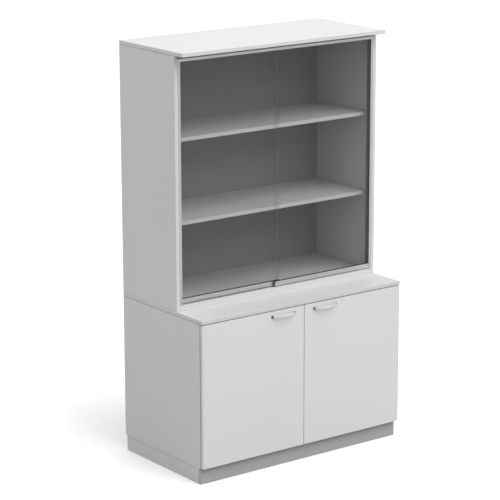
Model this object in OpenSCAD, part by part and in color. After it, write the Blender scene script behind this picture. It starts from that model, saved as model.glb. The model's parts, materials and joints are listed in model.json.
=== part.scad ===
// Two-part cabinet: a glass-front case with sliding doors on a cupboard with hinged doors.
//
// Frame: +Z is up and -Y is the front. The origin is on the floor, under the middle of the box
// that holds the whole cabinet, handles included. Depths are measured from the cabinet's rear
// plane towards the front, and at() turns a depth into a place in the frame.

/* [Overall] */
// Width over both side panels
cabinet_w = 1200; // [1000:10:1600]
// Height of the lower side panels
base_side_h = 711; // [580:1:900]
// Height of the upper side panels
upper_side_h = 1210; // [900:1:1600]
// Depth of the lower carcass without its doors
base_d = 633; // [520:1:800]
// Depth of the upper carcass
upper_d = 452; // [360:1:500]
// How far the top board stands out in front of the upper carcass
top_overhang = 67; // [0:1:120]

/* [Panels] */
// Thickness of the carcass panels, shelves and lower doors
panel_t = 18; // [16:1:25]
// Thickness of the back panels
back_t = 6; // [4:1:8]
// Depth of the groove that each back panel sits in
groove_depth = 7; // [4:1:9]
// Distance from the rear edges to each back panel
back_inset = 10; // [6:1:20]
// Play of a back panel in its groove
groove_play = 0.2; // [0.1:0.1:0.4]
// Distance from the upper carcass front to its ceiling's front edge
ceiling_setback = 14; // [0:1:20]

/* [Plinth] */
// Height of the plinth
plinth_h = 76; // [50:1:150]
// Distance from the carcass sides to the plinth
plinth_side_inset = 4; // [0:1:40]
// Distance from the carcass front to the plinth
plinth_front_inset = 4; // [0:1:80]
// Distance from the rear plane to the plinth
plinth_rear_inset = 8; // [0:1:40]

/* [Shelves] */
// Distance from the upper carcass front to the upper shelves
upper_shelf_setback = 51; // [45:1:100]
// Distance from the lower carcass front to the lower shelf
base_shelf_setback = 70; // [65:1:150]
// Play between a shelf and each carcass side or back
shelf_play = 1; // [0.9:0.1:2]
// Radius of a shelf pin
shelf_pin_r = 2.5; // [2:0.1:4]
// Length of a shelf pin outside the carcass side
shelf_pin_reach = 9; // [6:1:14]
// Length of a shelf pin inside the carcass side
shelf_pin_depth = 9; // [6:1:11]
// Distance from a shelf's front and rear edges to its pins
shelf_pin_edge = 40; // [20:1:80]

/* [Lower doors] */
// Gap between a closed door and the carcass front
door_gap = 4; // [3:0.5:6]
// Distance from the carcass side's outer face to the door's edge
door_side_inset = 2; // [0:0.5:4]
// Gap between the two doors
door_middle_gap = 3; // [2:0.5:6]
// Gap between the doors and the worktop
door_top_gap = 4; // [2:1:10]
// Distance from the carcass underside to the doors' lower edges
door_bottom_rise = 6; // [0:1:8]
// Thickness of the rubber bumpers
bumper_t = 3.6; // [2:0.1:5]
// Radius of the rubber bumpers
bumper_r = 4; // [3:0.5:5]

/* [Handles] */
// Distance between a handle's two screws
handle_hole_spacing = 128; // [96:32:192]
// Length of a handle past each screw
handle_tail = 9; // [8:0.5:12]
// How far a handle stands out from the door
handle_reach = 28; // [22:1:40]
// Height of the handle's band
handle_band_h = 13; // [10:0.5:20]
// Thickness of the handle's band
handle_band_t = 5; // [4.5:0.1:6]
// Radius of the bosses behind the band that the screws go into
handle_foot_r = 4.5; // [4:0.1:5]
// Distance from the middle of the cabinet to a handle's inner screw
handle_from_middle = 62; // [40:1:160]
// Distance from a door's upper edge to the handle's middle
handle_drop = 26; // [20:1:60]
// Radius of the handle screws
handle_screw_r = 2; // [1.5:0.1:2.5]
// How far a handle screw goes into the foot
handle_screw_bite = 4; // [3:0.5:4.5]

/* [Concealed hinges] */
// Radius of the cup
cup_r = 17.5; // [17.5:0.5:20]
// Depth of the cup in the door
cup_depth = 12; // [11.5:0.5:13]
// Wall of the cup
cup_wall = 1; // [0.8:0.1:1.2]
// Distance from the door's edge to the cup
cup_edge = 5; // [4:0.5:6]
// Distance between the two pivots of a hinge
link_length = 18; // [16:0.5:19]
// Distance from the cup's outer wall to the pivot in the cup
cup_pivot_inset = 8; // [7.5:0.5:9]
// Depth of both pivots inside the door's rear face
pivot_depth = 4.5; // [4:0.5:5.5]
// Width of a link along its pins
link_w = 8; // [6:1:9]
// Radius of the hinge pins
hinge_pin_r = 1.25; // [1:0.05:1.5]
// Radial clearance of the hinge pins in a link
hinge_pin_fit = 0.05; // [0.03:0.01:0.09]
// Distance from a door's upper and lower edges to its hinges
hinge_from_edge = 100; // [70:1:200]

/* [Sliding doors] */
// Thickness of the glass
glass_t = 5; // [4:1:6]
// Thickness of the rubber gasket between the glass and its shoe
gasket_t = 1.2; // [0.8:0.1:1.5]
// Thickness of a shoe profile
shoe_t = 12; // [11:0.5:14]
// Height of a shoe profile
shoe_h = 23.5; // [23:0.5:32]
// Play between a shoe and the lips beside it
shoe_play = 0.3; // [0.2:0.1:0.6]
// Thickness of the lips of the tracks and edge profiles
lip_t = 1.4; // [1:0.1:2]
// Visible width of the edge profiles
edge_profile_w = 15; // [13:1:25]
// Height of the top track
top_track_h = 13; // [12:1:25]
// Height of the bottom track
bottom_track_h = 8; // [7.5:0.5:12]
// How far a closed pane reaches into its edge profile
pane_engage = 10; // [6:1:11]
// How far the closed panes overlap in the middle
pane_overlap = 38; // [20:1:80]
// Radius of a roller where it runs on its rib
roller_r = 7.5; // [6:0.5:8]
// Distance from a shoe's end to its rollers
roller_from_end = 60; // [30:1:120]

/* [Hidden] */
$fn = 48;

board_colour = [0.85, 0.85, 0.85];
metal_colour = [0.74, 0.74, 0.75];
steel_colour = [0.62, 0.62, 0.64];
dark_colour = [0.22, 0.22, 0.23];
glass_colour = [0.35, 0.36, 0.36, 0.6];

left = -1;
right = 1;
eps = 0.01; // overlap of a cut with the face that it starts from

// ---- widths ----
half_w = cabinet_w / 2;
inner_x = half_w - panel_t;
plinth_x = half_w - plinth_side_inset;
profile_x = inner_x - edge_profile_w;
pane_end_x = profile_x + pane_engage;

// ---- heights ----
base_z0 = plinth_h;
base_z1 = base_z0 + base_side_h;
upper_z0 = base_z1 + panel_t;
upper_z1 = upper_z0 + upper_side_h;
total_h = upper_z1 + panel_t;
base_floor_z = base_z0 + panel_t;
base_ceiling_z = base_z1 - panel_t;
upper_floor_z = upper_z0 + panel_t;
upper_ceiling_z = upper_z1 - panel_t;
door_z0 = base_z0 + door_bottom_rise;
door_z1 = base_z1 - door_top_gap;

// ---- depths from the rear plane ----
door_back_d = base_d + door_gap;
door_front_d = door_back_d + panel_t;
total_d = door_front_d + handle_reach;
top_board_d = upper_d + top_overhang;
back_face_d = back_inset + back_t;
back_y = total_d / 2;

function at(x, d, z) = [x, back_y - d, z];

// A block from x0 to x1, between the depths d0 and d1 and the heights z0 and z1
module slab(x0, x1, d0, d1, z0, z1) {
    translate(at(x0, d1, z0)) cube([x1 - x0, d1 - d0, z1 - z0]);
}

// Children are drawn on the left, and mirrored for the right
module on_side(side) {
    mirror([side == right ? 1 : 0, 0, 0]) children();
}

// A round bar along X whose ends are at x0 and x1
module bar_x(x0, x1, d, z, r) {
    translate(at(x0, d, z)) rotate([0, 90, 0]) cylinder(h = x1 - x0, r = r);
}

// A round bar along the depth from d0 to d1
module bar_d(x, d0, d1, z, r) {
    translate(at(x, d0, z)) rotate([90, 0, 0]) cylinder(h = d1 - d0, r = r);
}

// A round upright bar from z0 to z1
module bar_z(x, d, z0, z1, r) {
    translate(at(x, d, z0)) cylinder(h = z1 - z0, r = r);
}

// ---- plinth ----

module plinth_board(x0, x1, d0, d1) {
    color(board_colour) slab(x0, x1, d0, d1, 0, plinth_h);
}

plinth_front_d = base_d - plinth_front_inset;

module plinth_front() {
    plinth_board(-plinth_x, plinth_x, plinth_front_d - panel_t, plinth_front_d);
}

module plinth_back() {
    plinth_board(-plinth_x + panel_t, plinth_x - panel_t, plinth_rear_inset, plinth_rear_inset + panel_t);
}

module plinth_side(side) {
    on_side(side)
        plinth_board(-plinth_x, -plinth_x + panel_t, plinth_rear_inset, plinth_front_d - panel_t);
}

module plinth_side_left() { plinth_side(left); }
module plinth_side_right() { plinth_side(right); }

// ---- carcass fixings ----

dowel_r = 4;
dowel_in_panel = 20;
dowel_in_side = 11;
dowel_fit = 0.05;
dowel_edge = 60;

rail_w = 100;
rail_rear_d = back_face_d;
rail_front_d = base_d - rail_w;

// Depth and height of each dowel that ties a lying panel to the sides
base_dowels = [
    [dowel_edge, base_z0 + panel_t / 2],
    [base_d - dowel_edge, base_z0 + panel_t / 2],
    [rail_rear_d + rail_w / 4, base_z1 - panel_t / 2],
    [rail_rear_d + rail_w * 3 / 4, base_z1 - panel_t / 2],
    [rail_front_d + rail_w / 4, base_z1 - panel_t / 2],
    [rail_front_d + rail_w * 3 / 4, base_z1 - panel_t / 2]
];
upper_dowels = [
    [dowel_edge, upper_z0 + panel_t / 2],
    [upper_d - dowel_edge, upper_z0 + panel_t / 2],
    [dowel_edge, upper_z1 - panel_t / 2],
    [upper_d - dowel_edge, upper_z1 - panel_t / 2]
];

module dowels(places, extra = 0) {
    for (side = [left, right], place = places)
        on_side(side)
            bar_x(-inner_x - dowel_in_side - extra, -inner_x + dowel_in_panel + extra,
                place[0], place[1], dowel_r + extra);
}

module carcass_dowels() {
    color("burlywood") dowels(concat(base_dowels, upper_dowels));
}

// Screws that go up through a carcass panel into the board on it
screw_r = 2;
screw_head_r = 4;
screw_head_h = 2.5;
screw_bite = 12;
screw_fit = 0.05;
screw_x = inner_x - 120;

// Depth and upper face of the panel that each pair of screws goes through
screw_rows = [
    [rail_rear_d + rail_w / 2, base_z1],
    [rail_front_d + rail_w / 2, base_z1],
    [dowel_edge, upper_z1],
    [upper_d - 2 * dowel_edge, upper_z1]
];

module screws(extra = 0) {
    for (side = [left, right], row = screw_rows)
        on_side(side) {
            z = row[1] - panel_t - extra;
            bar_z(-screw_x, row[0], z, row[1] + screw_bite + extra, screw_r + extra);
            bar_z(-screw_x, row[0], z, z + screw_head_h + 2 * extra, screw_head_r + extra);
        }
}

module board_screws() {
    color(steel_colour) screws();
}

// Bolts that go down through the upper floor and the worktop
bolt_r = 3;
bolt_head_r = 6;
bolt_head_h = 4;
bolt_fit = 0.05;
bolt_x = inner_x - 70;
bolt_depths = [dowel_edge + 25, upper_d - dowel_edge - 45];

module bolts(extra = 0) {
    for (side = [left, right], d = bolt_depths)
        on_side(side) {
            z = upper_floor_z + extra;
            bar_z(-bolt_x, d, base_z1 - extra, z, bolt_r + extra);
            bar_z(-bolt_x, d, z - bolt_head_h - 2 * extra, z, bolt_head_r + extra);
        }
}

module joining_bolts() {
    color(steel_colour) bolts();
}

// ---- back panels and the grooves that hold them ----

back_reach = inner_x + groove_depth - groove_play;
base_back_z0 = base_floor_z - groove_depth + groove_play;
upper_back_z0 = upper_floor_z - groove_depth + groove_play;
upper_back_z1 = upper_ceiling_z + groove_depth - groove_play;

// A back panel between two heights, or its groove where it is grown by the play
module back_panel(z0, z1, play = 0) {
    slab(-back_reach - play, back_reach + play, back_inset - play, back_face_d + play, z0 - play, z1 + play);
}

module base_back_panel(play = 0) { back_panel(base_back_z0, base_z1, play); }
module upper_back_panel(play = 0) { back_panel(upper_back_z0, upper_back_z1, play); }

module base_back() { color(board_colour) base_back_panel(); }
module upper_back() { color(board_colour) upper_back_panel(); }

// ---- shelves and their pins ----

upper_bay_h = (upper_ceiling_z - upper_floor_z - 2 * panel_t) / 3;
upper_shelf_zs = [upper_floor_z + upper_bay_h, upper_floor_z + 2 * upper_bay_h + panel_t];
base_shelf_z = (base_floor_z + base_ceiling_z - panel_t) / 2;
shelf_back_d = back_face_d + shelf_play;
upper_shelf_d = upper_d - upper_shelf_setback;
base_shelf_d = base_d - base_shelf_setback;
shelf_pin_fit = 0.05;

// Underside and front edge of each shelf
shelf_rows = [
    [upper_shelf_zs[0], upper_shelf_d],
    [upper_shelf_zs[1], upper_shelf_d],
    [base_shelf_z, base_shelf_d]
];

module shelf(row) {
    reach = inner_x - shelf_play;
    color(board_colour) slab(-reach, reach, shelf_back_d, row[1], row[0], row[0] + panel_t);
}

module upper_shelf_low() { shelf(shelf_rows[0]); }
module upper_shelf_high() { shelf(shelf_rows[1]); }
module base_shelf() { shelf(shelf_rows[2]); }

module pins(extra = 0) {
    for (side = [left, right], row = shelf_rows)
        on_side(side) for (d = [shelf_back_d + shelf_pin_edge, row[1] - shelf_pin_edge])
            bar_x(-inner_x - shelf_pin_depth - extra, -inner_x + shelf_pin_reach, d, row[0] - shelf_pin_r,
                shelf_pin_r + extra);
}

module shelf_pins() {
    color(steel_colour) pins();
}

// ---- lower carcass ----

module base_side(side) {
    color(board_colour) difference() {
        on_side(side) slab(-half_w, -inner_x, 0, base_d, base_z0, base_z1);
        base_back_panel(groove_play);
        dowels(base_dowels, dowel_fit);
        pins(shelf_pin_fit);
        plate_screws(plate_screw_fit);
    }
}

module base_side_left() { base_side(left); }
module base_side_right() { base_side(right); }

module base_bottom() {
    color(board_colour) difference() {
        slab(-inner_x, inner_x, 0, base_d, base_z0, base_floor_z);
        base_back_panel(groove_play);
        dowels(base_dowels, dowel_fit);
    }
}

module base_rail(d0) {
    color(board_colour) difference() {
        slab(-inner_x, inner_x, d0, d0 + rail_w, base_ceiling_z, base_z1);
        dowels(base_dowels, dowel_fit);
        screws(screw_fit);
    }
}

module base_rail_front() { base_rail(rail_front_d); }
module base_rail_rear() { base_rail(rail_rear_d); }

module base_top() {
    color(board_colour) difference() {
        slab(-half_w, half_w, 0, door_front_d, base_z1, upper_z0);
        screws(screw_fit);
        bolts(bolt_fit);
    }
}

// ---- upper carcass ----

module upper_side(side) {
    color(board_colour) difference() {
        on_side(side) slab(-half_w, -inner_x, 0, upper_d, upper_z0, upper_z1);
        upper_back_panel(groove_play);
        dowels(upper_dowels, dowel_fit);
        pins(shelf_pin_fit);
    }
}

module upper_side_left() { upper_side(left); }
module upper_side_right() { upper_side(right); }

module upper_bottom() {
    color(board_colour) difference() {
        slab(-inner_x, inner_x, 0, upper_d, upper_z0, upper_floor_z);
        upper_back_panel(groove_play);
        dowels(upper_dowels, dowel_fit);
        bolts(bolt_fit);
    }
}

module upper_ceiling() {
    color(board_colour) difference() {
        slab(-inner_x, inner_x, 0, upper_d - ceiling_setback, upper_ceiling_z, upper_z1);
        upper_back_panel(groove_play);
        dowels(upper_dowels, dowel_fit);
        screws(screw_fit);
    }
}

module top_board() {
    color(board_colour) difference() {
        slab(-half_w, half_w, 0, top_board_d, upper_z1, total_h);
        screws(screw_fit);
    }
}

// ---- frame of the sliding doors ----

track_w = shoe_t + 2 * shoe_play;
track_pitch = track_w + lip_t;
frame_depth = 2 * track_w + 3 * lip_t;
front_track_d = upper_d - lip_t - track_w / 2;
rear_track_d = front_track_d - track_pitch;
web_t = 1.6; // wall that joins the three lips
profile_z0 = upper_floor_z + bottom_track_h;
top_track_z = upper_ceiling_z - top_track_h;

// Three lips on a wall, seen along the profile: its depth along X, its lips along Y
module three_lips(h) {
    square([frame_depth, web_t]);
    for (lip = [0 : 2]) translate([lip * track_pitch, 0]) square([lip_t, h]);
}

module top_track() {
    color(metal_colour)
        translate(at(-inner_x, upper_d, upper_ceiling_z)) rotate([90, 0, 90])
            linear_extrude(2 * inner_x) mirror([0, 1]) three_lips(top_track_h);
}

rib_w = 2.6;
roller_gap = 0.3; // between a roller and its rib
roller_flange = 1.5;
rib_drop = 1.6; // from the lips' upper edges down to the ribs
rib_h = bottom_track_h - rib_drop;
rib_z = upper_floor_z + rib_h;

module bottom_track() {
    color(board_colour)
        translate(at(-inner_x, upper_d, upper_floor_z)) rotate([90, 0, 90])
            linear_extrude(2 * inner_x) {
                three_lips(bottom_track_h);
                for (track = [0, 1])
                    translate([lip_t + track_w / 2 - rib_w / 2 + track * track_pitch, 0])
                        square([rib_w, rib_h]);
            }
}

module side_profile(side) {
    color(metal_colour) on_side(side)
        translate(at(-inner_x, upper_d, profile_z0)) mirror([1, 0, 0]) rotate([0, 0, 90])
            linear_extrude(top_track_z - profile_z0) three_lips(edge_profile_w);
}

module side_profile_left() { side_profile(left); }
module side_profile_right() { side_profile(right); }

// ---- glass panes and their shoes ----
// The left pane runs on the rear track, the right one on the front track. Each is drawn on the
// left, with its outer end at -pane_end_x, and mirrored for the right.

shoe_wall = 1.5;
shoe_web = 2;
shoe_lift = 3; // gap between a shoe and the bottom track's lips
gasket_lip_w = 1; // how far the gasket's lips reach over the shoe
gasket_lip_h = 1.8;
glass_fit = 0.05;
pane_w = pane_end_x + pane_overlap / 2;
pane_in_x = -pane_end_x + pane_w;
shoe_z0 = profile_z0 + shoe_lift;
shoe_z1 = shoe_z0 + shoe_h;
roller_z = rib_z + roller_gap + roller_r;
roller_flange_r = roller_r + roller_flange;
shoe_cavity_z = roller_z + roller_flange_r + roller_gap;
slot_z0 = shoe_cavity_z + shoe_web;
glass_z0 = slot_z0 + gasket_t;
guide_rise = 2; // a guide's height above the glass
glass_z1 = upper_ceiling_z - web_t - guide_rise - 0.8;
cap_t = 1.5;

function track_of(side) = side == left ? rear_track_d : front_track_d;

module glass(side) {
    d = track_of(side);
    color(glass_colour) on_side(side)
        slab(-pane_end_x, pane_in_x, d - glass_t / 2, d + glass_t / 2, glass_z0, glass_z1);
}

module glass_left() { glass(left); }
module glass_right() { glass(right); }

// The slot that the shoe and its plugs leave for the gasket and the glass
module pane_slot(d, x0, x1) {
    slab(x0, x1, d - glass_t / 2 - gasket_t, d + glass_t / 2 + gasket_t, slot_z0, shoe_z1 + eps);
}

// A channel round the glass's lower edge, with a lip over each side of the shoe
module gasket(side) {
    d = track_of(side);
    half_t = glass_t / 2 + gasket_t;
    color(dark_colour) on_side(side) difference() {
        union() {
            slab(-pane_end_x, pane_in_x, d - half_t, d + half_t, slot_z0, shoe_z1);
            slab(-pane_end_x, pane_in_x, d - half_t - gasket_lip_w, d + half_t + gasket_lip_w,
                shoe_z1, shoe_z1 + gasket_lip_h);
        }
        slab(-pane_end_x - eps, pane_in_x + eps, d - glass_t / 2, d + glass_t / 2,
            glass_z0, shoe_z1 + gasket_lip_h + eps);
    }
}

module gasket_left() { gasket(left); }
module gasket_right() { gasket(right); }

// Places of a pane's two rollers along X
function roller_xs() = [-pane_end_x + roller_from_end, pane_in_x - roller_from_end];

module shoe(side) {
    d = track_of(side);
    inner = shoe_t / 2 - shoe_wall;
    color(metal_colour) on_side(side) difference() {
        slab(-pane_end_x + cap_t, pane_in_x - cap_t, d - shoe_t / 2, d + shoe_t / 2, shoe_z0, shoe_z1);
        slab(-pane_end_x, pane_in_x, d - inner, d + inner, shoe_z0 - eps, shoe_cavity_z);
        pane_slot(d, -pane_end_x, pane_in_x);
        for (x = roller_xs()) axle(x, d, axle_fit);
    }
}

module shoe_left() { shoe(left); }
module shoe_right() { shoe(right); }

// A plug closes each end of a shoe, with a slot for the gasket and the glass
module shoe_caps(side) {
    d = track_of(side);
    color(dark_colour) on_side(side)
        for (x = [-pane_end_x, pane_in_x - cap_t])
            difference() {
                slab(x, x + cap_t, d - shoe_t / 2, d + shoe_t / 2, shoe_z0, shoe_z1);
                pane_slot(d, x - eps, x + cap_t + eps);
            }
}

module shoe_caps_left() { shoe_caps(left); }
module shoe_caps_right() { shoe_caps(right); }

guide_l = 30;
guide_h = 7;
guide_from_end = 40;

// A guide sits over the glass and fills the track's width
module glass_guides(side) {
    d = track_of(side);
    color(dark_colour) on_side(side)
        for (x = [-pane_end_x + guide_from_end, pane_in_x - guide_from_end - guide_l])
            difference() {
                slab(x, x + guide_l, d - shoe_t / 2, d + shoe_t / 2,
                    glass_z1 + guide_rise - guide_h, glass_z1 + guide_rise);
                slab(x - eps, x + guide_l + eps, d - glass_t / 2 - glass_fit, d + glass_t / 2 + glass_fit,
                    glass_z1 - guide_h, glass_z1);
            }
}

module glass_guides_left() { glass_guides(left); }
module glass_guides_right() { glass_guides(right); }

axle_r = 2;
axle_fit = 0.02;
roller_bore_fit = 0.05;
roller_w = 7;
roller_groove_w = 3.4;

module axle(x, d, extra = 0) {
    bar_d(x, d - shoe_t / 2, d + shoe_t / 2, roller_z, axle_r + extra);
}

module roller_axles(side) {
    color(steel_colour) on_side(side) for (x = roller_xs()) axle(x, track_of(side));
}

module roller_axles_left() { roller_axles(left); }
module roller_axles_right() { roller_axles(right); }

// A grooved wheel that straddles its rib
module roller(side, x) {
    color("white") on_side(side)
        translate(at(x, track_of(side), roller_z)) rotate([90, 0, 0])
            rotate_extrude()
                difference() {
                    translate([axle_r + roller_bore_fit, -roller_w / 2])
                        square([roller_flange_r - axle_r - roller_bore_fit, roller_w]);
                    translate([roller_r, -roller_groove_w / 2]) square([roller_flange, roller_groove_w]);
                }
}

module roller_left_outer() { roller(left, roller_xs()[0]); }
module roller_left_inner() { roller(left, roller_xs()[1]); }
module roller_right_inner() { roller(right, roller_xs()[1]); }
module roller_right_outer() { roller(right, roller_xs()[0]); }

// ---- concealed hinges ----
// The link turns about the arm's pin while the door turns about the cup's pin, so the door
// first steps out of the carcass and then swings.

door_edge_x = -half_w + door_side_inset;
cup_x = door_edge_x + cup_edge + cup_r;
cup_pivot_x = door_edge_x + cup_edge + cup_pivot_inset;
arm_pivot_x = cup_pivot_x + link_length;
pivot_d = door_back_d + pivot_depth;
hinge_zs = [door_z0 + hinge_from_edge, door_z1 - hinge_from_edge];
cup_fit = 0.05;
cup_flange_t = 1;
cup_flange_h = 52;
cup_screw_x = 9.5;
cup_screw_z = 22.5;
cup_peg_r = 4;
cup_peg_h = 8;

module at_hinges() {
    for (z = hinge_zs) translate([0, 0, z]) children();
}

// What the door must give room for: the cup and its two pressed-in pegs
module cup_body(extra = 0) {
    bar_d(cup_x, door_back_d - eps, door_back_d + cup_depth + extra, 0, cup_r + extra);
    for (z = [-cup_screw_z, cup_screw_z])
        bar_d(cup_x + cup_screw_x, door_back_d - eps, door_back_d + cup_peg_h + extra, z, cup_peg_r + extra);
}

// The pin spans the cup, and its ends are held in the cup's wall
cup_pin_reach = sqrt(pow(cup_r - cup_wall / 2, 2) - pow(cup_x - cup_pivot_x, 2));

module hinge_cups(side) {
    color(steel_colour) on_side(side) at_hinges() {
        difference() {
            union() {
                cup_body();
                slab(cup_x - cup_r, cup_x + cup_r, door_back_d - cup_flange_t, door_back_d,
                    -cup_flange_h / 2, cup_flange_h / 2);
            }
            bar_d(cup_x, door_back_d - 2 * cup_flange_t, door_back_d + cup_depth - cup_wall,
                0, cup_r - cup_wall);
        }
        bar_z(cup_pivot_x, pivot_d, -cup_pin_reach, cup_pin_reach, hinge_pin_r);
    }
}

module hinge_cups_left() { hinge_cups(left); }
module hinge_cups_right() { hinge_cups(right); }

link_eye_r = 2.7;
link_t = 2.6;

module hinge_links(side) {
    color(steel_colour) on_side(side) at_hinges()
        difference() {
            union() {
                for (x = [cup_pivot_x, arm_pivot_x])
                    bar_z(x, pivot_d, -link_w / 2, link_w / 2, link_eye_r);
                slab(cup_pivot_x, arm_pivot_x, pivot_d - link_t / 2, pivot_d + link_t / 2,
                    -link_w / 2, link_w / 2);
            }
            for (x = [cup_pivot_x, arm_pivot_x])
                bar_z(x, pivot_d, -link_w, link_w, hinge_pin_r + hinge_pin_fit);
        }
}

module hinge_links_left() { hinge_links(left); }
module hinge_links_right() { hinge_links(right); }

arm_eye_r = 3.2;
arm_side_gap = 0.3;
arm_cheek_t = 1.6;
arm_w = link_w + 2 * arm_side_gap + 2 * arm_cheek_t;
arm_rear = 62;
arm_front = 8;
plate_t = 3;
plate_from_edge = 37;
plate_l = 44;
plate_w = 48;
plate_body_w = 16;
plate_wing_l = 14;

// A channel over the plate, with two cheeks that reach into the cup and hold the pin
module hinge_arms() {
    cheek_gap = link_w / 2 + arm_side_gap;
    color(steel_colour) for (side = [left, right]) on_side(side) at_hinges()
        difference() {
            union() {
                slab(-inner_x + plate_t, arm_pivot_x + arm_eye_r, base_d - arm_rear, base_d - arm_front,
                    -arm_w / 2, arm_w / 2);
                slab(arm_pivot_x - arm_eye_r, arm_pivot_x + arm_eye_r, base_d - arm_front, pivot_d,
                    -arm_w / 2, arm_w / 2);
                bar_z(arm_pivot_x, pivot_d, -arm_w / 2, arm_w / 2, arm_eye_r);
            }
            slab(-half_w, half_w, base_d - arm_front, door_front_d, -cheek_gap, cheek_gap);
            bar_z(arm_pivot_x, pivot_d, -arm_w, arm_w, hinge_pin_r + hinge_pin_fit / 2);
        }
}

module hinge_arm_pins() {
    color(steel_colour) for (side = [left, right]) on_side(side) at_hinges()
        bar_z(arm_pivot_x, pivot_d, -arm_w / 2, arm_w / 2, hinge_pin_r);
}

plate_screw_r = 2.5;
plate_screw_fit = 0.05;
plate_screw_bite = 11;
plate_screw_z = 16;
plate_screw_head_r = 3.8;
plate_screw_head_h = 1.6;

module plate_screws(extra = 0) {
    for (side = [left, right], z = [-plate_screw_z, plate_screw_z])
        on_side(side) at_hinges()
            bar_x(-inner_x - plate_screw_bite - extra, -inner_x + plate_t, base_d - plate_from_edge, z,
                plate_screw_r + extra);
}

module hinge_plate_screws() {
    color(steel_colour) {
        plate_screws();
        for (side = [left, right], z = [-plate_screw_z, plate_screw_z])
            on_side(side) at_hinges()
                bar_x(-inner_x + plate_t, -inner_x + plate_t + plate_screw_head_h,
                    base_d - plate_from_edge, z, plate_screw_head_r);
    }
}

module hinge_plates() {
    d = base_d - plate_from_edge;
    color(steel_colour) difference() {
        for (side = [left, right]) on_side(side) at_hinges() {
            for (size = [[plate_l, plate_body_w], [plate_wing_l, plate_w]])
                slab(-inner_x, -inner_x + plate_t, d - size[0] / 2, d + size[0] / 2,
                    -size[1] / 2, size[1] / 2);
        }
        plate_screws(plate_screw_fit);
    }
}

// ---- lower doors ----

door_in_x = -door_middle_gap / 2;
bumper_x = door_in_x - 30;
bumper_zs = [base_z0 + panel_t * 2 / 3, base_z1 - panel_t * 2 / 3];

module door(side) {
    color(board_colour) on_side(side) difference() {
        slab(door_edge_x, door_in_x, door_back_d, door_front_d, door_z0, door_z1);
        at_hinges() cup_body(cup_fit);
        handle_screw_shanks(handle_screw_fit);
    }
}

module door_left() { door(left); }
module door_right() { door(right); }

module door_bumpers(side) {
    color(dark_colour) on_side(side)
        for (z = bumper_zs) bar_d(bumper_x, door_back_d - bumper_t, door_back_d, z, bumper_r);
}

module door_bumpers_left() { door_bumpers(left); }
module door_bumpers_right() { door_bumpers(right); }

// ---- handles ----

handle_screw_fit = 0.05;
handle_screw_head_r = 4;
handle_screw_head_h = 2;
handle_z = door_z1 - handle_drop;
handle_x = -handle_from_middle - handle_hole_spacing / 2;

// The band is the part of a flat ring that stands in front of the door
handle_half = handle_hole_spacing / 2 + handle_tail;
bow_r = (pow(handle_half, 2) + pow(handle_reach, 2)) / (2 * handle_reach);
bow_d = door_front_d + handle_reach - bow_r;
foot_h = 5;

module handle_screw_shanks(extra = 0) {
    for (end = [-1, 1])
        bar_d(handle_x + end * handle_hole_spacing / 2, door_back_d - extra,
            door_front_d + handle_screw_bite + extra, handle_z, handle_screw_r + extra);
}

// The band's section: a bar with round upper and lower edges, beside the ring's axis
module band_section() {
    r = handle_band_t / 2;
    rise = handle_band_h / 2 - r;
    translate([bow_r - r, 0]) {
        square([handle_band_t, 2 * rise], center = true);
        for (end = [-1, 1]) translate([0, end * rise]) circle(r);
    }
}

module handle(side) {
    color(metal_colour) on_side(side) difference() {
        union() {
            intersection() {
                translate(at(handle_x, bow_d, handle_z)) rotate_extrude($fn = 180) band_section();
                slab(handle_x - handle_half, handle_x + handle_half,
                    door_front_d, door_front_d + 2 * handle_reach,
                    handle_z - handle_band_h, handle_z + handle_band_h);
            }
            for (end = [-1, 1])
                bar_d(handle_x + end * handle_hole_spacing / 2, door_front_d, door_front_d + foot_h,
                    handle_z, handle_foot_r);
        }
        handle_screw_shanks(handle_screw_fit);
    }
}

module handle_left() { handle(left); }
module handle_right() { handle(right); }

module handle_screws(side) {
    color(steel_colour) on_side(side) {
        handle_screw_shanks();
        for (end = [-1, 1])
            bar_d(handle_x + end * handle_hole_spacing / 2, door_back_d - handle_screw_head_h, door_back_d,
                handle_z, handle_screw_head_r);
    }
}

module handle_screws_left() { handle_screws(left); }
module handle_screws_right() { handle_screws(right); }

plinth_front();
plinth_back();
plinth_side_left();
plinth_side_right();
base_side_left();
base_side_right();
base_bottom();
base_back();
base_rail_front();
base_rail_rear();
base_top();
base_shelf();
upper_side_left();
upper_side_right();
upper_bottom();
upper_ceiling();
upper_back();
top_board();
upper_shelf_low();
upper_shelf_high();
shelf_pins();
carcass_dowels();
joining_bolts();
board_screws();
top_track();
bottom_track();
side_profile_left();
side_profile_right();
glass_left();
glass_right();
gasket_left();
gasket_right();
shoe_left();
shoe_right();
shoe_caps_left();
shoe_caps_right();
glass_guides_left();
glass_guides_right();
roller_left_outer();
roller_left_inner();
roller_right_inner();
roller_right_outer();
roller_axles_left();
roller_axles_right();
door_left();
door_right();
handle_left();
handle_right();
handle_screws_left();
handle_screws_right();
hinge_cups_left();
hinge_cups_right();
hinge_links_left();
hinge_links_right();
hinge_arms();
hinge_arm_pins();
hinge_plates();
hinge_plate_screws();
door_bumpers_left();
door_bumpers_right();
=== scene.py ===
"""A two-part cabinet: a glass-front case with sliding doors on a cupboard with hinged doors.

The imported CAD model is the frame. This script redraws the boards with rounded edges and shadow
lines, gives every part its surface, and sets up the floor, the light and the camera.
"""
import json
import math

import bmesh
import bpy
from mathutils import Matrix, Vector


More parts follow.
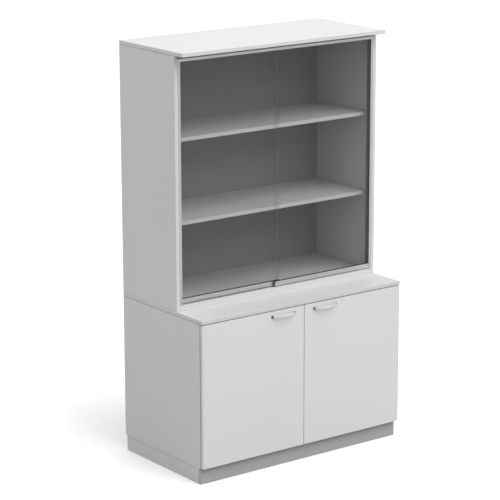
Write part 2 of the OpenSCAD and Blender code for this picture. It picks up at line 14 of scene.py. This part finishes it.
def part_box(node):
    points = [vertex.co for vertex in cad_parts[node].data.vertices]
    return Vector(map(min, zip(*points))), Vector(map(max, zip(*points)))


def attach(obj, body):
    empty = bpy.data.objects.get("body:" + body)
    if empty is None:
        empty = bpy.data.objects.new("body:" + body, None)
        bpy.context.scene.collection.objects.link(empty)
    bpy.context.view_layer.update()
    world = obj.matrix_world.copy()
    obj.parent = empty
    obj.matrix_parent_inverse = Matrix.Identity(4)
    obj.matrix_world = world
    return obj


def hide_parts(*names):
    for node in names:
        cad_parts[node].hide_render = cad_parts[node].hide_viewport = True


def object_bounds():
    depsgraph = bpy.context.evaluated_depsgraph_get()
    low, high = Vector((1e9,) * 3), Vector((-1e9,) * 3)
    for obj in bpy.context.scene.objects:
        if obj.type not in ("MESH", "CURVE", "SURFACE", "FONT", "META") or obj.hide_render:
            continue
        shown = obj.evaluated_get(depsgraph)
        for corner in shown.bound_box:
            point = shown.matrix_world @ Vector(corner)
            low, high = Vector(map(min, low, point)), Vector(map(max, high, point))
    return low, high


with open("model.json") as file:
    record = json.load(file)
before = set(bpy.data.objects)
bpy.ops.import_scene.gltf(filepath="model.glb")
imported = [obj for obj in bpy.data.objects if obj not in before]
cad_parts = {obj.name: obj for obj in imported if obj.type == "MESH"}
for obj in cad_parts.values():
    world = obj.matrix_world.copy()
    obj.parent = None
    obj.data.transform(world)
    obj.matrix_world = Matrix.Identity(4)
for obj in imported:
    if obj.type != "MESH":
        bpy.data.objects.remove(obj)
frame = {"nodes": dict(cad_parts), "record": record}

scene = bpy.context.scene
cad_low, cad_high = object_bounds()
cad_centre = (cad_low + cad_high) / 2
MM = 0.001


# ---- small helpers for shader nodes ----

def new_tree(material):
    """The material's node tree, emptied."""
    material.use_nodes = True
    material.node_tree.nodes.clear()
    return material.node_tree


def add(tree, kind, inputs=None, **settings):
    """A shader node with its settings and inputs; an input may be a value or another node's socket."""
    node = tree.nodes.new("ShaderNode" + kind)
    for key, value in settings.items():
        setattr(node, key, value)
    for key, value in (inputs or {}).items():
        if isinstance(value, bpy.types.NodeSocket):
            tree.links.new(value, node.inputs[key])
        else:
            node.inputs[key].default_value = value
    return node


def grey(value, warmth=0.0):
    """A nearly neutral colour; warmth above 0 leans to yellow, and below 0 to blue."""
    return (value * (1 + warmth), value, value * (1 - warmth), 1.0)


def noise(tree, vector, seed, scale, detail=2.0, roughness=0.5):
    """A noise pattern; its scale is in features per metre."""
    inputs = {"Vector": vector, "W": seed, "Scale": scale, "Detail": detail, "Roughness": roughness}
    return add(tree, "TexNoise", inputs, noise_dimensions="4D").outputs["Fac"]


def remap(tree, value, low, high, to_low, to_high):
    """value taken from the range low..high to the range to_low..to_high, and clamped."""
    inputs = {
        "Value": value,
        "From Min": low,
        "From Max": high,
        "To Min": to_low,
        "To Max": to_high,
    }
    return add(tree, "MapRange", inputs).outputs["Result"]


def fade(tree, value, start, end, full=1.0):
    """0 where value is at start or below, rising to full where it is at end or above."""
    return remap(tree, value, start, end, 0.0, full)


NOISE_LOW = 0.3  # most of a noise pattern lies between these two
NOISE_HIGH = 0.7


def vary(tree, pattern, low, high):
    """A value that goes from low to high with a noise pattern."""
    return remap(tree, pattern, NOISE_LOW, NOISE_HIGH, low, high)


# A Mix node's sockets for colours, by their place, because its names repeat for each data type
MIX_FACTOR = 0
MIX_FIRST = 6
MIX_SECOND = 7
MIX_RESULT = 2


def mix_colours(tree, factor, first, second):
    """first where the factor is 0, second where it is 1."""
    inputs = {MIX_FACTOR: factor, MIX_FIRST: first, MIX_SECOND: second}
    return add(tree, "Mix", inputs, data_type="RGBA").outputs[MIX_RESULT]


def maths(tree, operation, first, second):
    """One sum on two values."""
    return add(tree, "Math", {0: first, 1: second}, operation=operation).outputs[0]


SEED_SPREAD = 40.0


def own_seed(tree):
    """A number that differs from piece to piece."""
    random = add(tree, "ObjectInfo").outputs["Random"]
    return maths(tree, "MULTIPLY", random, SEED_SPREAD)


def place(tree, stretch=(1, 1, 1)):
    """Places on the piece in metres, stretched along each axis."""
    position = add(tree, "TexCoord").outputs["Object"]
    return add(tree, "VectorMath", {0: position, 1: stretch}, operation="MULTIPLY").outputs[0]


EDGE_FALL = 0.35  # how far the rounded and the flat normal differ where an edge counts in full


def edge_mask(tree, radius):
    """1 along the edges of a piece and 0 on its flat faces."""
    rounded = add(tree, "Bevel", {"Radius": radius}, samples=4).outputs["Normal"]
    flat = add(tree, "NewGeometry").outputs["Normal"]
    same = add(tree, "VectorMath", {0: rounded, 1: flat}, operation="DOT_PRODUCT").outputs["Value"]
    return remap(tree, same, 1 - EDGE_FALL, 1.0, 1.0, 0.0)


def bump(tree, height, strength, distance):
    """The normal of a surface whose relief is height, up to distance in metres."""
    inputs = {"Height": height, "Strength": strength, "Distance": distance}
    return add(tree, "Bump", inputs).outputs["Normal"]


def surface(tree, inputs):
    """A Principled shader with these inputs, as the material's surface."""
    shader = add(tree, "BsdfPrincipled", inputs)
    add(tree, "OutputMaterial", {"Surface": shader.outputs["BSDF"]})


# ---- materials ----

def new_material(name):
    """A material, its empty node tree, and a seed that makes its noise differ from piece to piece."""
    material = bpy.data.materials.new(name)
    tree = new_tree(material)
    return material, tree, own_seed(tree)


CLOUD_TONES = (0.985, 1.012)
SPECK_TONE = 0.965
SPECK_SHARE = 0.35
RUBBED_TONE = 0.86
RUBBED_SHARE = 0.3
RUBBED_WIDTH = 1.2 * MM


def laminate(name, tone, roughness, grain=620.0, relief=0.04 * MM):
    """Melamine-faced board: faint clouds in the print, a fine pearl texture and rubbed edges."""
    material, tree, seed = new_material(name)
    spot = place(tree)
    clouds = noise(tree, spot, seed, scale=2.2, detail=4.0, roughness=0.55)
    specks = noise(tree, spot, seed, scale=grain, detail=1.0)
    scuffs = noise(tree, place(tree, (1, 1, 0.35)), seed, scale=26.0, detail=5.0, roughness=0.6)
    dull_cloud, bright_cloud = (grey(tone * factor) for factor in CLOUD_TONES)
    printed = mix_colours(tree, vary(tree, clouds, 0.0, 1.0), dull_cloud, bright_cloud)
    speck = fade(tree, specks, start=0.35, end=0.75, full=SPECK_SHARE)
    speckled = mix_colours(tree, speck, printed, grey(tone * SPECK_TONE))
    wear = remap(tree, scuffs, 0.4, 0.65, 0.2, 1.0)
    edges = maths(tree, "MULTIPLY", edge_mask(tree, RUBBED_WIDTH), wear)
    rubbed = maths(tree, "MULTIPLY", edges, RUBBED_SHARE)
    rough = vary(tree, scuffs, roughness - 0.05, roughness + 0.07)
    pearl = maths(tree, "ADD", specks, maths(tree, "MULTIPLY", clouds, 0.6))
    surface(tree, {
        "Base Color": mix_colours(tree, rubbed, speckled, grey(tone * RUBBED_TONE)),
        "Roughness": maths(tree, "ADD", rough, maths(tree, "MULTIPLY", edges, 0.12)),
        "Specular IOR Level": 0.35,
        "Normal": bump(tree, pearl, 0.5, relief),
    })
    return material


LINE_TONES = (0.95, 1.03)
LINE_RELIEF = 0.02 * MM
BLOTCH_TONE = 0.88
BLOTCH_SHARE = 0.3
BRIGHT_EDGE_TONE = 1.25
BRIGHT_EDGE_SHARE = 0.25
BRIGHT_EDGE_WIDTH = 0.6 * MM
BRIGHTEST_METAL = 0.95
# Painted shade on the handles: a dark tone on the metal close to the door's face
DOOR_SHADE_BLEND = 2.0 * MM
PAINTED_DOOR_SHADE_TONE = 0.16


def metal(name, tone, roughness, along, warmth=0.0, metallic=0.85, door_shade_depth=None):
    """Metal with fine lines along one direction, light blotches in the finish and bright edges.

    Behind the given depth, if there is one, the metal is dark: painted shade where the handle meets the
    door.
    """
    material, tree, seed = new_material(name)
    lines = noise(tree, place(tree, along), seed, scale=1.0, detail=3.0, roughness=0.6)
    blotches = noise(tree, place(tree), seed, scale=60.0, detail=4.0, roughness=0.6)
    dull_line, bright_line = (grey(tone * factor, warmth) for factor in LINE_TONES)
    drawn = mix_colours(tree, fade(tree, lines, start=0.25, end=0.75), dull_line, bright_line)
    blotched = fade(tree, blotches, start=0.45, end=0.8, full=BLOTCH_SHARE)
    aged = mix_colours(tree, blotched, drawn, grey(tone * BLOTCH_TONE, warmth))
    if door_shade_depth is not None:
        # painted shade: the metal turns dark where it comes near the door
        depth = add(tree, "SeparateXYZ", {0: place(tree)}).outputs["Y"]
        aged = mix_colours(tree, fade(tree, depth, door_shade_depth - DOOR_SHADE_BLEND, door_shade_depth), aged, grey(PAINTED_DOOR_SHADE_TONE))
    edges = maths(tree, "MULTIPLY", edge_mask(tree, BRIGHT_EDGE_WIDTH), BRIGHT_EDGE_SHARE)
    bright = grey(min(tone * BRIGHT_EDGE_TONE, BRIGHTEST_METAL), warmth)
    blotch_rough = vary(tree, blotches, roughness - 0.04, roughness + 0.06)
    line_rough = vary(tree, lines, -0.03, 0.03)
    surface(tree, {
        "Base Color": mix_colours(tree, edges, aged, bright),
        "Metallic": metallic,
        "Roughness": maths(tree, "ADD", blotch_rough, line_rough),
        "Normal": bump(tree, lines, 0.35, LINE_RELIEF),
    })
    return material


DUST_GAIN = 1.1
DUST_LIFT = 0.006
WORN_EDGE_GAIN = 1.3
WORN_EDGE_LIFT = 0.01
WORN_EDGE_SHARE = 0.35
WORN_EDGE_WIDTH = 0.5 * MM
PALEST_PLASTIC = 0.9
PLASTIC_RELIEF = 0.04 * MM


def moulded(name, tone, roughness, grain=900.0, warmth=0.0, specular=0.4):
    """Moulded plastic or rubber: an even colour with a fine grain, patches of dust and worn edges."""
    material, tree, seed = new_material(name)
    spot = place(tree)
    fine = noise(tree, spot, seed, scale=grain)
    dust = noise(tree, spot, seed, scale=35.0, detail=4.0, roughness=0.65)
    dusty = grey(tone * DUST_GAIN + DUST_LIFT, warmth)
    colour = mix_colours(tree, fade(tree, dust, start=0.4, end=0.75), grey(tone, warmth), dusty)
    edges = maths(tree, "MULTIPLY", edge_mask(tree, WORN_EDGE_WIDTH), WORN_EDGE_SHARE)
    worn = grey(min(tone * WORN_EDGE_GAIN + WORN_EDGE_LIFT, PALEST_PLASTIC), warmth)
    surface(tree, {
        "Base Color": mix_colours(tree, edges, colour, worn),
        "Roughness": vary(tree, dust, roughness - 0.06, roughness + 0.08),
        "Specular IOR Level": specular,
        "Normal": bump(tree, fine, 0.5, PLASTIC_RELIEF),
    })
    return material


DARK_GRAIN = (0.58, 0.40, 0.24, 1)
PALE_GRAIN = (0.76, 0.58, 0.40, 1)
FLECK_COLOUR = (0.36, 0.22, 0.12, 1)
WOOD_RELIEF = 0.1 * MM


def beech(name):
    """Turned beech: straight grain along the dowel with short dark flecks."""
    material, tree, seed = new_material(name)
    grain = noise(tree, place(tree, (18, 420, 420)), seed, scale=1.0, detail=4.0, roughness=0.6)
    flecks = noise(tree, place(tree, (260, 2600, 2600)), seed, scale=1.0)
    flecked = fade(tree, flecks, start=0.6, end=0.75, full=0.7)
    wood = mix_colours(tree, vary(tree, grain, 0.0, 1.0), DARK_GRAIN, PALE_GRAIN)
    surface(tree, {
        "Base Color": mix_colours(tree, flecked, wood, FLECK_COLOUR),
        "Roughness": vary(tree, grain, 0.55, 0.7),
        "Normal": bump(tree, grain, 0.4, WOOD_RELIEF),
    })
    return material


GLASS_ROUGHNESS = (0.02, 0.1)  # where it is clean, and where it is smeared
GLANCE_POWER = 5.0  # Schlick's approximation


def pane_glass(name, tint, face_on):
    """Lightly tinted glass, clear through. Its reflection grows from face_on to full at a glance."""
    material, tree, seed = new_material(name)
    smears = noise(tree, place(tree, (1, 1, 0.5)), seed, scale=7.0, detail=5.0, roughness=0.62)
    clear = add(tree, "BsdfTransparent", {"Color": grey(tint)})
    gloss = add(tree, "BsdfGlossy", {
        "Color": grey(0.95),
        "Roughness": remap(tree, smears, 0.35, 0.7, *GLASS_ROUGHNESS),
    })
    facing = add(tree, "LayerWeight", {"Blend": 0.5}).outputs["Facing"]
    glance = maths(tree, "POWER", facing, GLANCE_POWER)
    mix = add(tree, "MixShader", {
        0: remap(tree, glance, 0.0, 1.0, face_on, 1.0),
        1: clear.outputs["BSDF"],
        2: gloss.outputs["BSDF"],
    })
    add(tree, "OutputMaterial", {"Surface": mix.outputs["Shader"]})
    return material


# Noise stretches in features per metre along X, Y and Z: short one way makes lines that way
UPRIGHT_LINES = (1400, 1400, 6)
LEVEL_LINES = (6, 1400, 1400)
NICKEL_GRAIN = (260, 260, 260)
ZINC_GRAIN = (320, 320, 320)

BOARD_TONE = 0.80
# The worktop's darker tone is painted shade, for the shade that the upper case casts on it
WORKTOP_SHADED_TONE = 0.76
# The doors' lighter tone is painted light: the same board as the rest, made brighter for the light falling
# on the front
DOOR_LIT_TONE = 0.89
# The plinth front's darker tone is painted shade, for the shade under the doors; the other plinth boards
# keep the board tone
PLINTH_FRONT_SHADE_TONE = 0.54
BOARD_ROUGHNESS = 0.46
PLINTH_ROUGHNESS = 0.5
# How far in front of the door's face the handles take painted shade
HANDLE_SHADE_REACH = 6.5 * MM
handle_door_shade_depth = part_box("door_left")[0].y - HANDLE_SHADE_REACH

finishes = {
    "board": laminate("board_laminate", BOARD_TONE, BOARD_ROUGHNESS),
    # The back panel's dark tone is painted shade, for the dim inside of the case
    "back_board": laminate("back_panel_shaded_laminate", 0.39, 0.58, grain=700.0, relief=0.015 * MM),
    "tinted_glass": pane_glass("pane_glass", tint=0.92, face_on=0.012),
    "frame_aluminium": metal("anodised_aluminium", 0.58, 0.34, LEVEL_LINES, metallic=0.8),
    "track_plastic": moulded("track_plastic", 0.76, 0.42),
    "handle_metal": metal("satin_handle", 0.78, 0.5, LEVEL_LINES, metallic=0.5, door_shade_depth=handle_door_shade_depth),
    "nickel_steel": metal("nickel_steel", 0.62, 0.26, NICKEL_GRAIN, warmth=0.03),
    "zinc_steel": metal("zinc_steel", 0.58, 0.4, ZINC_GRAIN, warmth=-0.02),
    "dark_plastic": moulded("dark_plastic", 0.2, 0.5),
    "roller_nylon": moulded("white_nylon", 0.74, 0.38, warmth=0.02),
    "bumper_rubber": moulded("black_rubber", 0.035, 0.72, grain=1500.0, specular=0.25),
    "beech_dowel": beech("turned_beech"),
}
upright_aluminium = metal("anodised_aluminium_upright", 0.56, 0.34, UPRIGHT_LINES, metallic=0.6)
door_lit_laminate = laminate("door_lit_laminate", DOOR_LIT_TONE, BOARD_ROUGHNESS)
worktop_shaded_laminate = laminate("worktop_shaded_laminate", WORKTOP_SHADED_TONE, BOARD_ROUGHNESS)
plinth_front_shade_laminate = laminate("plinth_front_shade_laminate", PLINTH_FRONT_SHADE_TONE, PLINTH_ROUGHNESS)


# ---- boards with rounded edges ----

BODY_OF = {
    node: body
    for body, nodes in frame["record"]["behaviour"]["bodies"].items()
    for node in nodes
}
BOARD_EDGE = 1.1 * MM
JOINT_GAP = 2.2 * MM  # height of the shadow line between two boards
JOINT_DEPTH = 4.0 * MM  # how deep the shadow line goes
CORNER_SEGMENTS = 3


def new_object(name, build):
    """An object whose mesh is what build() draws into an empty bmesh."""
    mesh_data = bmesh.new()
    build(mesh_data)
    mesh = bpy.data.meshes.new(name)
    mesh_data.to_mesh(mesh)
    mesh_data.free()
    obj = bpy.data.objects.new(name, mesh)
    scene.collection.objects.link(obj)
    return obj


def stand_for(obj, node, finish, material=None):
    """obj takes the CAD node's place, its body and its finish, in that finish's material or another."""
    obj.data.materials.append(material or finishes[finish])
    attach(obj, BODY_OF[node])
    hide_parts(node)
    return obj


def rounded_block(mesh_data, low, high, radius):
    """Draws a block whose edges have a radius."""
    made = bmesh.ops.create_cube(mesh_data, size=1.0)
    size = high - low
    centre = (low + high) / 2
    for vert in made["verts"]:
        vert.co = Vector(c + s * v for c, s, v in zip(centre, size, vert.co))
    edges = {edge for vert in made["verts"] for edge in vert.link_edges}
    bmesh.ops.bevel(mesh_data, geom=list(edges), offset=radius, segments=CORNER_SEGMENTS,
                    profile=0.5, affect="EDGES", clamp_overlap=True)


def weigh_normals(obj):
    """Keeps flat faces flat beside rounded edges."""
    weighted = obj.modifiers.new("shade", "WEIGHTED_NORMAL")
    weighted.mode = "FACE_AREA"
    weighted.keep_sharp = False


def shade_softly(obj):
    """Smooth rounded edges beside flat faces."""
    for polygon in obj.data.polygons:
        polygon.use_smooth = True
    weigh_normals(obj)


def board(node, gap_low=0.0, gap_high=0.0, around=None, material=None):
    """A board in the CAD node's box. A gap at an end leaves a shadow line beside the next board.

    around names the CAD fixings that the board is bored for.
    """
    low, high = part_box(node)
    outer_low = low + Vector((0, 0, gap_low))
    outer_high = high - Vector((0, 0, gap_high))
    inset = Vector((JOINT_DEPTH, JOINT_DEPTH, 0))

    def build(mesh_data):
        rounded_block(mesh_data, outer_low, outer_high, BOARD_EDGE)
        if gap_low or gap_high:
            rounded_block(mesh_data, low + inset, high - inset, BOARD_EDGE / 2)

    obj = new_object(node + "_panel", build)
    if around:
        fixings = frame["nodes"][around].data
        cut(obj, new_object("fixing_bores", lambda mesh_data: mesh_data.from_mesh(fixings)))
    shade_softly(obj)
    return stand_for(obj, node, "board", material)


BORE_SEGMENTS = 64


def round_bore(mesh_data, centre, radius, front, back):
    """Draws a round bar along Y between two depths, to be cut out of a board."""
    turn = Matrix.Rotation(math.pi / 2, 4, "X")
    shift = Matrix.Translation(Vector((centre.x, (front + back) / 2, centre.z)))
    bmesh.ops.create_cone(mesh_data, cap_ends=True, segments=BORE_SEGMENTS, radius1=radius, radius2=radius,
                          depth=abs(front - back), matrix=shift @ turn)


def cut(obj, cutter):
    """Takes the cutter's shape out of obj for good, and drops the cutter."""
    boolean = obj.modifiers.new("cut", "BOOLEAN")
    boolean.operation = "DIFFERENCE"
    boolean.solver = "EXACT"
    boolean.object = cutter
    boolean.use_self = True
    bpy.context.view_layer.update()
    shape = bpy.data.meshes.new_from_object(obj.evaluated_get(bpy.context.evaluated_depsgraph_get()))
    obj.modifiers.remove(boolean)
    obj.data = shape
    bpy.data.objects.remove(cutter)


CUP_FIT = 0.05 * MM  # clearance round a hinge cup
CUP_FLANGE_HALF = 26.0 * MM  # from a cup's middle to the end of its flange
BORE_OVERRUN = 1.0 * MM  # how far a bore's cutter goes past the door's back


def door(side):
    """A lower door with the two blind holes that its hinge cups sit in."""
    node = "door_" + side
    low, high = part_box(node)
    cup_low, cup_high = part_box("hinge_cups_" + side)
    obj = new_object(node + "_panel", lambda mesh_data: rounded_block(mesh_data, low, high, BOARD_EDGE))
    radius = (cup_high.x - cup_low.x) / 2 + CUP_FIT
    middle = (cup_low.x + cup_high.x) / 2

    def build(mesh_data):
        for z in (cup_low.z + CUP_FLANGE_HALF, cup_high.z - CUP_FLANGE_HALF):
            centre = Vector((middle, 0, z))
            round_bore(mesh_data, centre, radius, cup_low.y - CUP_FIT, high.y + BORE_OVERRUN)

    cut(obj, new_object("cup_bores", build))
    shade_softly(obj)
    return stand_for(obj, node, "board", door_lit_laminate)


board("upper_ceiling", around="board_screws")
board("upper_bottom", around="joining_bolts")
# the plinth front, in its painted-shade tone
board("plinth_front", material=plinth_front_shade_laminate)
board("base_top", material=worktop_shaded_laminate)
for plain in ("plinth_back", "plinth_side_left", "plinth_side_right", "base_bottom", "base_shelf",
              "top_board", "upper_shelf_low", "upper_shelf_high"):
    board(plain)
for side in ("left", "right"):
    board("base_side_" + side, gap_low=JOINT_GAP, gap_high=JOINT_GAP)
    board("upper_side_" + side, gap_high=JOINT_GAP)
    door(side)


# ---- the CAD parts that stay ----

WELD_REACH = 0.01 * MM
SHARP_ANGLE = math.radians(50)


def soften(part, radius):
    """Rounds a CAD part's sharp edges as the real one's are."""
    weld = part.modifiers.new("weld", "WELD")
    weld.merge_threshold = WELD_REACH
    bevel = part.modifiers.new("round", "BEVEL")
    bevel.width = radius
    bevel.segments = 2
    bevel.limit_method = "ANGLE"
    bevel.angle_limit = SHARP_ANGLE
    bevel.use_clamp_overlap = True
    weigh_normals(part)


# Edge radius of the CAD parts that are softened, by finish
EDGE_RADIUS = {
    "frame_aluminium": 0.25 * MM,
    "track_plastic": 0.25 * MM,
    "tinted_glass": 0.6 * MM,
}

for subpart in frame["record"]["subparts"]:
    name = subpart["node"]
    slot = subpart["material_slot"]
    part = frame["nodes"][name]
    part.data.materials.clear()
    upright = name.startswith("side_profile")
    part.data.materials.append(upright_aluminium if upright else finishes[slot])
    if slot in EDGE_RADIUS:
        soften(part, EDGE_RADIUS[slot])


# ---- floor, light and camera ----

def plane(name, size, z):
    """A level square round the origin."""
    mesh = bpy.data.meshes.new(name)
    half = size / 2
    corners = [(-half, -half, z), (half, -half, z), (half, half, z), (-half, half, z)]
    mesh.from_pydata(corners, [], [(0, 1, 2, 3)])
    obj = bpy.data.objects.new(name, mesh)
    scene.collection.objects.link(obj)
    return obj


FLOOR_SIZE = 60.0
FLOOR_DROP = 0.3 * MM  # keeps the floor just clear of the plinth
FLOOR_MOTTLE = 0.005


def floor_material(seen, mirrored, lit):
    """A pale floor: its tone as the camera sees it, in reflections, and as a source of light."""
    material = bpy.data.materials.new("studio_floor")
    tree = new_tree(material)
    mottle = noise(tree, place(tree), seed=0.0, scale=3.0, detail=3.0)
    tone = mix_colours(tree, mottle, grey(seen * (1 - FLOOR_MOTTLE)), grey(seen * (1 + FLOOR_MOTTLE)))
    rays = add(tree, "LightPath").outputs
    shader = add(tree, "BsdfDiffuse", {"Color": grey(lit)}).outputs["BSDF"]
    for ray, tint in (("Is Glossy Ray", grey(mirrored)), ("Is Camera Ray", tone)):
        other = add(tree, "BsdfDiffuse", {"Color": tint}).outputs["BSDF"]
        shader = add(tree, "MixShader", {0: rays[ray], 1: shader, 2: other}).outputs["Shader"]
    add(tree, "OutputMaterial", {"Surface": shader})
    return material


floor = plane("floor", FLOOR_SIZE, cad_low.z - FLOOR_DROP)
floor.data.materials.append(floor_material(seen=1.42, mirrored=0.85, lit=0.35))


# Where the sky's tone changes, along the Y and Z of a direction: it fades across each band
FRONT_BAND = (-0.9, -0.3)
TOP_BAND = (0.3, 0.9)


def sky(front, sides, zenith):
    """White behind the object, and a soft studio light: one level in front, at the sides and above."""
    world = bpy.data.worlds.new("studio")
    scene.world = world
    world.use_nodes = True
    tree = world.node_tree
    tree.nodes.clear()
    direction = add(tree, "TexCoord").outputs["Generated"]
    axes = add(tree, "SeparateXYZ", {0: direction}).outputs
    level = mix_colours(tree, fade(tree, axes["Y"], *FRONT_BAND), grey(front), grey(sides))
    tone = mix_colours(tree, fade(tree, axes["Z"], *TOP_BAND), level, grey(zenith))
    dome = add(tree, "Background", {"Color": tone})
    backdrop = add(tree, "Background", {"Color": grey(1.0)})
    mix = add(tree, "MixShader", {
        0: add(tree, "LightPath").outputs["Is Camera Ray"],
        1: dome.outputs["Background"],
        2: backdrop.outputs["Background"],
    })
    add(tree, "OutputWorld", {"Surface": mix.outputs["Shader"]})


def softbox(name, azimuth, elevation, width, strength, distance):
    """A square area light aimed at the cabinet. Azimuth 0 is in front, and 90 on the right."""
    light = bpy.data.lights.new(name, "AREA")
    light.shape = "SQUARE"
    light.size = width
    light.energy = strength * distance ** 2
    obj = bpy.data.objects.new(name, light)
    scene.collection.objects.link(obj)
    turn, rise = math.radians(azimuth), math.radians(elevation)
    away = Vector((math.sin(turn) * math.cos(rise), -math.cos(turn) * math.cos(rise), math.sin(rise)))
    obj.location = cad_centre + away * distance
    obj.rotation_mode = "QUATERNION"
    obj.rotation_quaternion = (-away).to_track_quat("-Z", "Y")


sky(front=0.47, sides=0.88, zenith=0.6)
softbox("key", azimuth=25, elevation=52, width=12.5, strength=6.8, distance=13.0)

# The camera's place and lens, fitted to the straight edges in the photograph
YAW = math.radians(36.82)
PITCH = math.radians(14.18)
ROLL = math.radians(-0.13)
LENS = 156.37
DISTANCE = 10.546
AIM_OFFSET = Vector((-0.0604, 0.0377, -0.0237))

camera_data = bpy.data.cameras.new("camera")
camera_data.lens = LENS
camera_data.sensor_width = 36.0
camera_data.clip_end = 200.0
camera = bpy.data.objects.new("camera", camera_data)
scene.collection.objects.link(camera)
turned = (Matrix.Rotation(-YAW, 4, "Z") @ Matrix.Rotation(math.pi / 2 - PITCH, 4, "X")
          @ Matrix.Rotation(ROLL, 4, "Z"))
forward = turned.to_3x3() @ Vector((0, 0, -1))
camera.matrix_world = Matrix.Translation(cad_centre + AIM_OFFSET - forward * DISTANCE) @ turned
scene.camera = camera

scene.cycles.diffuse_bounces = 1
scene.view_settings.view_transform = "Standard"
scene.view_settings.look = "None"
